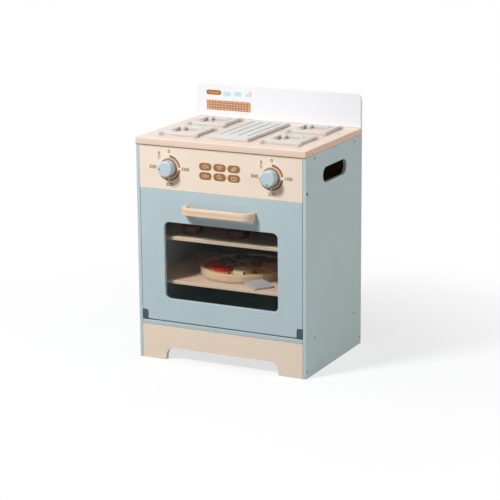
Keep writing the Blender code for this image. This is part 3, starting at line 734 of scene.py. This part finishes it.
def splash_prints(brown, sky, gold):
    """A brown oval with pale dots, two pale blue ovals and four rising bars."""
    to_world = on_front(splash_face)
    across, up = splash_oval[0], splash_foot + splash_oval[1]
    plate("splash_oval", stadium(across, up, *splash_oval_size), to_world, brown)
    bm = bmesh.new()
    for index in range(splash_dots):
        shift = (index - splash_dots // 2) * dot_pitch
        dot = circle(across + shift, up, dot_radius, dot_steps)
        slab(bm, dot, to_world, *second_layer)
    to_piece("splash_oval_dots", bm, gold, "root")
    for index, (across, rise) in enumerate(splash_buttons):
        button = stadium(across, splash_foot + rise, *button_size)
        plate(f"splash_button_{index + 1}", button, to_world, sky)
    bm = bmesh.new()
    for index in range(splash_bars):
        left = bar_left + index * bar_pitch
        right = left + bar_width
        low = splash_foot + bar_low
        high = splash_foot + bar_high + index * bar_rise
        slab(bm, [(left, low), (right, low), (right, high), (left, high)], to_world)
    to_piece("splash_bars", bm, gold, "root")


# Woven cane. A strand's section is given as shares of half its width and as drops from its crown.

cane_left, cane_right = -0.1772, -0.0677
cane_low, cane_high = 0.0164, 0.0380
cane_pitch_across = 0.0072
cane_pitch_up = 0.0054
cane_upright_width = 0.0031
cane_level_width = 0.0023
cane_wave = 0.00028
cane_lift = 0.0007
cane_smooth = 50
strand_section = ((-1, 0.0003), (-0.5, 0), (0.5, 0), (1, 0.0003), (1, 0.0005), (-1, 0.0005))
steps_per_crossing = 4


def cane(strand_material, backing_material):
    """A rectangle of woven cane: flat strands that pass over and under one another."""
    to_world = on_front(splash_face)
    low, high = splash_foot + cane_low, splash_foot + cane_high
    corners = [(cane_left, low), (cane_right, low), (cane_right, high), (cane_left, high)]
    plate("cane_backing", corners, to_world, backing_material, high=2 * print_thickness)
    bm = bmesh.new()
    columns = round((cane_right - cane_left) / cane_pitch_across)
    rows = round((high - low) / cane_pitch_up)
    for upright, count, other in ((True, columns, rows), (False, rows, columns)):
        for index in range(count):
            weave_strand(bm, upright, index, count, other, low, high, to_world)
    to_piece("cane_weave", bm, strand_material, "root", cane_smooth)


def weave_strand(bm, upright, index, count, other, low, high, to_world):
    """One strand of the weave, as a ribbon whose height swings at each crossing."""
    share = (index + 0.5) / count
    half = (cane_upright_width if upright else cane_level_width) / 2
    first_over = (index % 2 == 0) == upright
    rings = []
    steps = other * steps_per_crossing
    for step in range(steps + 1):
        run = step / steps
        swing = math.sin(math.pi * (run * other + 0.5)) * (1 if first_over else -1)
        proud = cane_lift + cane_wave * swing
        ring = []
        for side, drop in strand_section:
            if upright:
                across = cane_left + (cane_right - cane_left) * share + side * half
                up = low + (high - low) * run
            else:
                across = cane_left + (cane_right - cane_left) * run
                up = low + (high - low) * share + side * half
            ring.append(bm.verts.new(to_world(across, up, proud - drop)))
        rings.append(ring)
    skin(bm, rings)
    bm.faces.new(rings[0])
    bm.faces.new(rings[-1][::-1])


# Knobs

pointer_radius = 0.0018
pointer_reach = 0.0118


def knob_dot(side, direction, material):
    """The dark dot that the pointer's dimple is painted with."""
    low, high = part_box(f"knob_{side}")
    x, z = (low.x + high.x) / 2, (low.z + high.z) / 2
    spot = (x + pointer_reach * direction[0], z + pointer_reach * direction[1])
    dot = circle(*spot, pointer_radius, round_steps // 2)
    plate(f"knob_dot_{side}", dot, on_front(low.y), material, f"knob_{side}")


# Play food

slice_count = 4
slice_gap = 0.0013
pizza_growth = 0.004
seam_turn = math.radians(-40.4)
crust_height = 0.016
crust_width = 0.009
crust_edge = 0.0018
bed_drop = 0.003
bed_inset = 0.0006
wedge_steps = 36
corner_steps = 5
cheese_thickness = 0.0004
topping_height = 0.0055
topping_edge = 0.0009
topping_smooth = 40
food_smooth = 35
least_cut_area = 6e-6
rim_waves = ((17, 1.0), (31, 0.6))

# Toppings, in metres across and back from the pizza's centre
discs = [
    ("tomato_left", -0.0615, -0.0262, 0.022, "tomato"),
    ("tomato_front", -0.0272, -0.0540, 0.0215, "tomato"),
    ("onion", -0.0060, -0.0160, 0.0150, "onion"),
    ("salami_rear", 0.008, 0.050, 0.020, "salami"),
    ("salami_right", 0.045, 0.050, 0.017, "salami"),
    ("salami_middle", 0.0225, 0.0095, 0.013, "salami"),
    ("ham", 0.063, 0.002, 0.0235, "ham"),
    ("olive_front", 0.0015, -0.082, 0.0021, "olive"),
    ("olive_middle", 0.0355, -0.0765, 0.0021, "olive"),
    ("olive_right", 0.050, -0.051, 0.0021, "olive"),
]
# Toppings' paints: colour, roughness and mottling
topping_paints = {
    "tomato": (srgb(196, 26, 34), 0.4, 0.05),
    "onion": (srgb(132, 108, 120), 0.5, 0.05),
    "salami": (srgb(120, 54, 66), 0.5, 0.08),
    "ham": (srgb(196, 164, 142), 0.5, 0.04),
    "olive": (srgb(38, 32, 26), 0.4, 0.05),
    "pepper": (srgb(44, 78, 56), 0.45, 0.06),
    "mushroom": (srgb(232, 222, 204), 0.5, 0.03),
}
mushroom_spot = (0.019, -0.051)
mushroom_radius = 0.0205
stalk_width = 0.024
stalk_reach = 0.0235
mushroom_slice = 3
pepper_rings = [(2, -0.049, 0.012), (1, -0.033, 0.055)]
pepper_radius = 0.018
pepper_hole = 0.72 * pepper_radius
pepper_lobes = 4
pepper_dent = 0.04
pepper_hole_dent = 0.05


def food_box(nodes):
    """The box round several nodes."""
    boxes = [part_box(node) for node in nodes]
    low = Vector([min(box[0][i] for box in boxes) for i in range(3)])
    high = Vector([max(box[1][i] for box in boxes) for i in range(3)])
    return low, high


pizza_low, pizza_high = food_box([f"pizza_slice_{n + 1}" for n in range(slice_count)])
pizza_centre = (pizza_low + pizza_high) / 2
pizza_radius = (pizza_high.x - pizza_low.x) / 2 - slice_gap + pizza_growth
bed_height = crust_height - bed_drop


def on_top(height):
    """Maps (across, back, proud) from the pizza's centre to a place on a level face."""
    return lambda across, back, proud: (
        pizza_centre.x + across,
        pizza_centre.y + back,
        pizza_low.z + height + proud,
    )


def quarter(centre_height, start_turn):
    """Profile points of a quarter round at the crust's rim."""
    centre_radius = pizza_radius - crust_edge
    return arc(centre_radius, centre_height, crust_edge, start_turn, start_turn + math.pi / 2, corner_steps)


def slice_place(index, inset):
    """The turns of a slice's width from end to end, and its tip, which keeps off both seams."""
    half = math.pi / slice_count
    middle = seam_turn + half * (2 * index + 1)
    turns = [middle + half * (2 * step / wedge_steps - 1) for step in range(wedge_steps + 1)]
    return turns, at_turn(0, 0, inset / math.sin(half), middle)


def slice_wood(index, material):
    """One slice of the pizza's wood: a wedge whose bed lies lower than its rounded crust."""
    turns, tip = slice_place(index, slice_gap / 2)
    profile = quarter(crust_edge, -math.pi / 2) + quarter(crust_height - crust_edge, 0)
    inner = pizza_radius - crust_width
    for step in range(corner_steps + 1):
        share = step / corner_steps
        fall = bed_drop * (1 - math.cos(math.pi * share)) / 2
        profile.append((inner + crust_edge * (1 - share), crust_height - fall))
    to_world = on_top(0)
    bm = bmesh.new()
    rows = []
    for radius, height in profile:
        rows.append([bm.verts.new(to_world(*at_turn(*tip, radius, turn), height)) for turn in turns])
    low_tip = bm.verts.new(to_world(*tip, 0))
    high_tip = bm.verts.new(to_world(*tip, bed_height))
    for lower, upper in zip(rows, rows[1:]):
        for step in range(wedge_steps):
            bm.faces.new((lower[step], lower[step + 1], upper[step + 1], upper[step]))
    for step in range(wedge_steps):
        bm.faces.new((low_tip, rows[0][step + 1], rows[0][step]))
        bm.faces.new((high_tip, rows[-1][step], rows[-1][step + 1]))
    for end in (0, -1):
        bm.faces.new([low_tip, *[row[end] for row in rows], high_tip])
    name = f"slice_wood_{index + 1}"
    piece = to_piece(name, bm, material, f"slice_{index + 1}", food_smooth)
    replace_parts(piece, f"pizza_slice_{index + 1}")


def slice_cheese(index, material):
    """The melted bed of one slice, with an uneven outer rim."""
    turns, tip = slice_place(index, slice_gap / 2 + bed_inset)
    rim = pizza_radius - crust_width - 3 * bed_inset
    (slow_count, slow), (quick_count, quick) = rim_waves
    outline = [tip]
    for turn in turns:
        wave = slow * math.sin(turn * slow_count + index) + quick * math.sin(turn * quick_count)
        outline.append(at_turn(*tip, rim + bed_inset * wave, turn))
    body = f"slice_{index + 1}"
    plate(f"slice_cheese_{index + 1}", outline, on_top(bed_height), material, body, high=cheese_thickness)


def topping(name, outline, holes, material, index):
    """A flat topping with softened upper edges, on one slice."""
    bm = bmesh.new()
    to_world = on_top(bed_height + cheese_thickness)
    slab(bm, outline, to_world, 0, topping_height, holes)
    top = to_world(0, 0, topping_height)[2]
    rim = []
    for edge in bm.edges:
        level = all(abs(vertex.co.z - top) < print_thickness for vertex in edge.verts)
        if level and any(abs(face.normal.z) < 0.5 for face in edge.link_faces):
            rim.append(edge)
    soften(bm, rim, topping_edge)
    to_piece(name, bm, material, f"slice_{index + 1}", topping_smooth)


def lobed(centre_a, centre_b, radius, lobes, depth):
    """A round outline that swells into lobes."""
    points = []
    for step in range(round_steps):
        turn = math.tau * step / round_steps
        reach = radius * (1 - depth + depth * math.cos(lobes * turn))
        points.append(at_turn(centre_a, centre_b, reach, turn))
    return points


def mushroom_outline():
    """A cap with a short stalk towards the door."""
    a, b = mushroom_spot
    half = stalk_width / 2
    opening = math.asin(half / mushroom_radius)
    cap = arc(a, b, mushroom_radius, opening - math.pi / 2, 3 * math.pi / 2 - opening, round_steps)
    return cap + [(a - half, b - stalk_reach), (a + half, b - stalk_reach)]


def clipped(points, turn, offset):
    """The part of a convex outline that lies to the left of a line from the pizza's centre."""
    normal = Vector((-math.sin(turn), math.cos(turn)))
    kept = []
    for here, after in zip(points, points[1:] + points[:1]):
        start_side = normal.dot(here) - offset
        end_side = normal.dot(after) - offset
        if start_side >= 0:
            kept.append(here)
        if (start_side >= 0) != (end_side >= 0):
            share = start_side / (start_side - end_side)
            kept.append(tuple(Vector(here).lerp(after, share)))
    return kept


def outline_area(points):
    """The area inside an outline."""
    pairs = zip(points, points[1:] + points[:1])
    return abs(sum(a * d - b * c for (a, b), (c, d) in pairs)) / 2


def cut_topping(name, outline, material):
    """A topping that was cut with the pizza, in as many parts as slices that it lies on."""
    sweep = math.tau / slice_count
    for index in range(slice_count):
        turn = seam_turn + sweep * index
        part = clipped(outline, turn, slice_gap / 2)
        part = clipped(part, turn + sweep - math.pi, slice_gap / 2) if part else part
        if len(part) > 2 and outline_area(part) > least_cut_area:
            topping(f"{name}_{index + 1}", part, [], material, index)


# Cakes. The case's profile is given as shares of the height and as drops from the full radius.

flutes = 18
flute_steps = 6
flute_depth = 0.0019
flute_fade = 4
case_profile = [(0, 0.0030), (0.36, 0.0016), (0.72, 0), (0.74, 0.0004), (0.70, 0.0012)]
case_top = 0.70
cake_inset = 0.0014
cake_fullness = 0.7
cake_rings = 14
cake_lump = 0.0009
cake_lump_scale = 160
cake_smooth = 60


def cake(side, case_material, top_material):
    """A small cake: a fluted case that widens upwards, and a risen top."""
    node = f"muffin_{side}"
    low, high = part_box(node)
    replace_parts(cake_case(f"cake_case_{side}", low, high, case_material, node), node)
    cake_top(f"cake_top_{side}", low, high, top_material, node)


def cake_case(name, low, high, material, body):
    """The case, whose flutes start at its foot."""
    centre = (low + high) / 2
    radius = (high.x - low.x) / 2
    steps = flutes * flute_steps
    bm = bmesh.new()
    rings = []
    for share, drop in case_profile:
        depth = flute_depth * min(1, flute_fade * share)
        up = low.z + (high.z - low.z) * share
        ring = []
        for step in range(steps):
            turn = math.tau * step / steps
            reach = radius - drop - depth * (1 - math.cos(turn * flutes)) / 2
            ring.append(bm.verts.new((*at_turn(centre.x, centre.y, reach, turn), up)))
        rings.append(ring)
    skin(bm, rings)
    bm.faces.new(rings[0][::-1])
    bm.faces.new(rings[-1])
    return to_piece(name, bm, material, body, cake_smooth)


def cake_top(name, low, high, material, body):
    """The risen top, a little uneven."""
    centre = (low + high) / 2
    radius = (high.x - low.x) / 2 - cake_inset
    height = high.z - low.z
    bm = bmesh.new()
    rings = []
    for step in range(cake_rings):
        turn = math.pi / 2 * step / cake_rings
        reach = radius * math.cos(turn) ** cake_fullness
        rise = case_top * height + (1 - case_top) * height * math.sin(turn)
        ring = []
        for index in range(round_steps):
            swing = math.tau * index / round_steps
            spot = Vector((math.cos(swing) * reach, math.sin(swing) * reach, rise))
            lump = abs(noise_at(spot * cake_lump_scale) * cake_lump * math.cos(turn))
            ring.append(bm.verts.new((centre.x + spot.x, centre.y + spot.y, low.z + rise - lump)))
        rings.append(ring)
    skin(bm, rings)
    summit = bm.verts.new((centre.x, centre.y, high.z))
    for index in range(round_steps):
        bm.faces.new((rings[-1][index], rings[-1][(index + 1) % round_steps], summit))
    bm.faces.new(rings[0][::-1])
    to_piece(name, bm, material, body, cake_smooth)


server_growth = 1.1
server_edge = 0.0007
level_turn = math.radians(1)
corner_turn = math.radians(60)


def server_blade(material):
    """The server's blade with softened edges, a little larger than its solid away from the pizza."""
    node = "pizza_server"
    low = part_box(node)[0]
    bm = bmesh.new()
    bm.from_mesh(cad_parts[node].data)
    anchor = min((v.co.copy() for v in bm.verts), key=lambda spot: (spot - pizza_centre).xy.length)
    foot = Vector((anchor.x, anchor.y, low.z))
    for vertex in bm.verts:
        vertex.co = foot + (vertex.co - foot) * server_growth
    bmesh.ops.dissolve_limit(bm, angle_limit=level_turn, verts=bm.verts[:], edges=bm.edges[:])
    rim = [edge for edge in bm.edges if edge.calc_face_angle(0) > corner_turn]
    soften(bm, rim, server_edge)
    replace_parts(to_piece("server_blade", bm, material, "server", food_smooth), node)


def food():
    """The pizza's slices with their toppings, the server and the cakes."""
    crust = wooden("crust_wood", srgb(233, 200, 166), srgb(208, 166, 128), spacing=0.005, stave=0.3)
    cheese = melted("cheese", srgb(224, 180, 88), srgb(190, 124, 52))
    for index in range(slice_count):
        slice_wood(index, crust)
        slice_cheese(index, cheese)
    paints = {kind: painted(f"{kind}_paint", *look) for kind, look in topping_paints.items()}
    for name, a, b, radius, kind in discs:
        cut_topping(name, circle(a, b, radius), paints[kind])
    topping("mushroom", mushroom_outline(), [], paints["mushroom"], mushroom_slice)
    for number, (index, a, b) in enumerate(pepper_rings):
        outline = lobed(a, b, pepper_radius, pepper_lobes, pepper_dent)
        hole = lobed(a, b, pepper_hole, pepper_lobes, pepper_hole_dent)[::-1]
        topping(f"pepper_ring_{number + 1}", outline, [hole], paints["pepper"], index)
    # Painted shade darkens the cases' flutes.
    case = painted("case_paint", srgb(116, 56, 58), roughness=0.5, mottle=0.08, nook_shade=0.3)
    server_blade(painted("server_paint", srgb(190, 192, 192), roughness=0.45, mottle=0.03, rub=0.4))
    cake("left", case, painted("cake_brown", srgb(176, 122, 88), roughness=0.6, mottle=0.08))
    cake("right", case, painted("cake_plum", srgb(122, 100, 108), roughness=0.6, mottle=0.08))


# Stage. Fill lamps: name, strength, spread in degrees, direction and colour.

surround_tint = (1.0, 0.985, 0.96, 1)
surround_strength = 0.11
white = (1, 1, 1, 1)
paper_tones = ((0.86, 0.87, 0.88, 1), (0.88, 0.89, 0.90, 1))
bounce_tones = ((0.335, 0.325, 0.31, 1), (0.355, 0.345, 0.33, 1))
floor_radius = 14.0
floor_steps = 96
glow_reach = (0.3, 0.9)
glow_shares = (0.7, 1.0)
fills = (
    ("right_fill", 1.72, 60, (-1.0, 0.05, -0.03), (1.0, 0.985, 0.94)),
    ("rear_fill", 1.1, 60, (-0.2, -1.0, -0.2), white[:3]),
    ("top_fill", 0.15, 30, (0.0, 0.0, -1.0), white[:3]),
)
key_size = 0.6
key_watts = 109.0
key_direction = (0.58, 1.0, -1.20)
key_distance = 3.2
key_aim = (0, -0.1, 0.27)


def seen_rays(tree):
    """One for rays from the eye, gloss and clear sheets, and zero for light that falls on things."""
    path = add(tree, "ShaderNodeLightPath").outputs
    seen = maths(tree, "MAXIMUM", path["Is Camera Ray"], path["Is Glossy Ray"])
    return maths(tree, "MAXIMUM", seen, path["Is Transmission Ray"])


def surround():
    """A dim warm surround, which the eye and gloss see as white."""
    world = bpy.data.worlds.new("studio")
    bpy.context.scene.world = world
    world.use_nodes = True
    tree = world.node_tree
    tree.nodes.clear()
    light = add(tree, "ShaderNodeBackground", {"Color": surround_tint, "Strength": surround_strength})
    backdrop = add(tree, "ShaderNodeBackground", {"Color": white, "Strength": 1.0})
    inputs = {0: seen_rays(tree), 1: light.outputs[0], 2: backdrop.outputs[0]}
    mixed = add(tree, "ShaderNodeMixShader", inputs)
    add(tree, "ShaderNodeOutputWorld", {"Surface": mixed.outputs[0]})


def floor_paper():
    """Pale matt paper that keeps a shadow, fades to white far off and throws little light back."""
    material, tree, shader, place = start("floor_paper")
    cloud = noise(tree, place, scale=3.0)
    seen = seen_rays(tree)
    colour = blend(tree, seen, blend(tree, cloud, *bounce_tones), blend(tree, cloud, *paper_tones))
    wire(tree, shader, {"Base Color": colour, "Roughness": 0.9, "Specular IOR Level": 0.1})
    distance = add(tree, "ShaderNodeVectorMath", {0: place}, operation="LENGTH").outputs["Value"]
    far = maths(tree, "MULTIPLY", remap(tree, distance, *glow_reach, *glow_shares), seen)
    glow = add(tree, "ShaderNodeEmission", {"Color": white, "Strength": 1.0})
    mixed = add(tree, "ShaderNodeMixShader", {0: far, 1: shader.outputs[0], 2: glow.outputs[0]})
    output = next(node for node in tree.nodes if node.type == "OUTPUT_MATERIAL")
    feed(tree, output.inputs["Surface"], mixed.outputs[0])
    return material


def paper_floor():
    """The floor that the oven stands on."""
    bm = bmesh.new()
    bmesh.ops.create_circle(bm, cap_ends=True, segments=floor_steps, radius=floor_radius)
    floor = to_object("floor", bm, floor_paper())


def hang_lamp(lamp, direction, place=(0, 0, 0)):
    """Sets up a lamp that shines in a direction."""
    holder = in_scene(lamp.name, lamp)
    holder.location = place
    holder.rotation_euler = direction.to_track_quat("-Z", "Y").to_euler()


def lamps():
    """Three wide fills and a soft key lamp from the upper left."""
    for name, strength, spread, direction, colour in fills:
        lamp = bpy.data.lights.new(name, "SUN")
        lamp.energy = strength
        lamp.angle = math.radians(spread)
        lamp.color = colour
        hang_lamp(lamp, Vector(direction))
    lamp = bpy.data.lights.new("key", "AREA")
    lamp.size = key_size
    lamp.energy = key_watts
    aim = Vector(key_direction).normalized()
    hang_lamp(lamp, aim, Vector(key_aim) - aim * key_distance)


camera_azimuth = math.radians(26.4538)
camera_elevation = math.radians(14.1665)
camera_roll = math.radians(-0.4601)
camera_spot = (1.77511, -3.55817, 1.23380)
image_width = 500
focal_pixels = 1880.887
sensor_width = 36


def camera():
    """A long lens ahead of the oven and to its right, which looks down on the hob."""
    a, e, r = camera_azimuth, camera_elevation, camera_roll
    back = Vector((math.sin(a) * math.cos(e), -math.cos(a) * math.cos(e), math.sin(e)))
    level = (-back).cross(Vector((0, 0, 1))).normalized()
    upright = level.cross(-back)
    right = level * math.cos(r) + upright * math.sin(r)
    up = upright * math.cos(r) - level * math.sin(r)
    stand = Matrix((right, up, back)).transposed().to_4x4()
    stand.translation = camera_spot
    lens_data = bpy.data.cameras.new("camera")
    lens_data.sensor_width = sensor_width
    lens_data.lens = sensor_width * focal_pixels / image_width
    lens_data.clip_start = 0.1
    lens_data.clip_end = 60
    holder = in_scene("camera", lens_data)
    holder.matrix_world = stand
    bpy.context.scene.camera = holder


# Finishes of the CAD nodes

def dress(nodes, material):
    """Gives CAD nodes their finish."""
    for node in nodes:
        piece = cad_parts[node]
        if not piece.material_slots:
            piece.data.materials.append(material)
        for material_slot in piece.material_slots:
            material_slot.material = material


def pair(stem):
    """The names of a left and a right node."""
    return [f"{stem}_{side}" for side in sides]


def finishes():
    """The finish of every CAD node."""
    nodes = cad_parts
    grates = ["griddle"] + [name for name in nodes if name.startswith("burner_")]
    dress(["door_panel", "bottom_panel"], painted("door_paint", srgb(177, 196, 202)))
    dress(pair("side_panel"), painted("side_paint", srgb(182, 200, 204)))
    # The panel's paint turns fully brown in its nooks: painted shadow under the worktop's edge and round the
    # knobs.
    panel_paint = painted("panel_paint", srgb(236, 219, 202), roughness=0.55, mottle=0.02, nook_shade=0.0)
    dress(["control_panel"], panel_paint)
    # The plinth's paint is a little darker than the panel's: painted shade for the dimmer light low down.
    plinth_shaded_paint = painted("plinth_shaded_paint", srgb(232, 213, 196), roughness=0.55, mottle=0.025)
    dress(["plinth_front", "plinth_rear"], plinth_shaded_paint)
    dress(["splashback"], painted("splash_paint", srgb(231, 234, 239), roughness=0.42, mottle=0.01))
    # Painted shade darkens the grates' holes, slots and feet by the worktop to a warm brown.
    grate_paint = painted(
        "grate_paint", srgb(213, 213, 212), roughness=0.5, mottle=0.02, rub=0.05, nook_shade=0.72
    )
    dress(grates, grate_paint)
    knob_paint = painted("knob_paint", srgb(184, 203, 210), roughness=0.42, mottle=0.02, rub=0.2)
    dress(pair("knob"), knob_paint)
    tray_enamel = painted("tray_enamel", srgb(206, 200, 190), roughness=0.3, mottle=0.03, rub=0.3)
    dress(["pizza_tray"], tray_enamel)
    pine = wooden(
        "pine",
        srgb(231, 208, 190),
        srgb(214, 177, 150),
        spacing=0.0080,
        coat=0.8,
        stave=0.062,
        depth=0.42,
        end_tones=(srgb(238, 198, 168), srgb(160, 94, 68)),
        pith=(0.11, 0.32, -0.36),
    )
    dress(["worktop"], pine)
    handle_pine = wooden("handle_pine", srgb(234, 208, 184), srgb(196, 140, 108), spacing=0.009, depth=0.6)
    dress(["door_handle"], handle_pine)
    plain_pine = wooden("plain_pine", srgb(236, 208, 184), srgb(208, 168, 136), spacing=0.005)
    dress(["top_rail_front", "top_rail_rear"] + pair("door_stop"), plain_pine)
    shelf_wood = wooden("shelf_wood", srgb(238, 212, 188), srgb(214, 178, 148), spacing=0.006, stave=0.3)
    dress(["shelf_upper", "shelf_lower"], shelf_wood)
    dress(["back_panel"], fibreboard("hardboard", srgb(96, 74, 60)))
    slate = moulded("slate_plastic", srgb(64, 72, 86))
    dress(pair("hinge_block") + ["magnet_catch"], slate)
    washer_plastic = moulded("washer_plastic", srgb(225, 226, 226))
    dress(pair("knob_washer"), washer_plastic)
    dress(["door_window"], clear_pane("clear_pane"))
    dress(["strike_plate"], metallic("zinc_steel", srgb(196, 200, 206)))
    bolts = [name for name in nodes if "bolt" in name]
    dress(bolts, metallic("grey_steel", srgb(146, 152, 157), roughness=0.42))
    dark_steel = metallic("dark_steel", srgb(66, 70, 76), roughness=0.42)
    dress(pair("bolt_panel"), dark_steel)


def prints():
    """Everything printed on the boards and knobs, and the cane."""
    brown = inked("brown_ink", srgb(148, 100, 60))
    numeral_ink = inked("numeral_ink", srgb(142, 100, 70))
    for side in sides:
        dial(side, brown, numeral_ink)
    pills(brown, inked("icon_ink", srgb(226, 194, 158), spotty=0.04))
    amber = inked("amber_ink", srgb(172, 104, 50))
    gold = inked("gold_ink", srgb(208, 188, 162), spotty=0.06)
    splash_prints(amber, inked("sky_ink", srgb(188, 218, 224), spotty=0.03), gold)
    strands = wooden("cane_strand", srgb(236, 184, 142), srgb(202, 140, 98), along="Z", spacing=0.002)
    cane(strands, inked("cane_shade", srgb(84, 42, 20)))
    dot = inked("dot_ink", srgb(44, 46, 48))
    knob_dot("left", (-1, 0), dot)
    knob_dot("right", (0, -1), dot)


bpy.context.scene.view_settings.view_transform = "Standard"
surround()
paper_floor()
lamps()
camera()
finishes()
prints()
food()
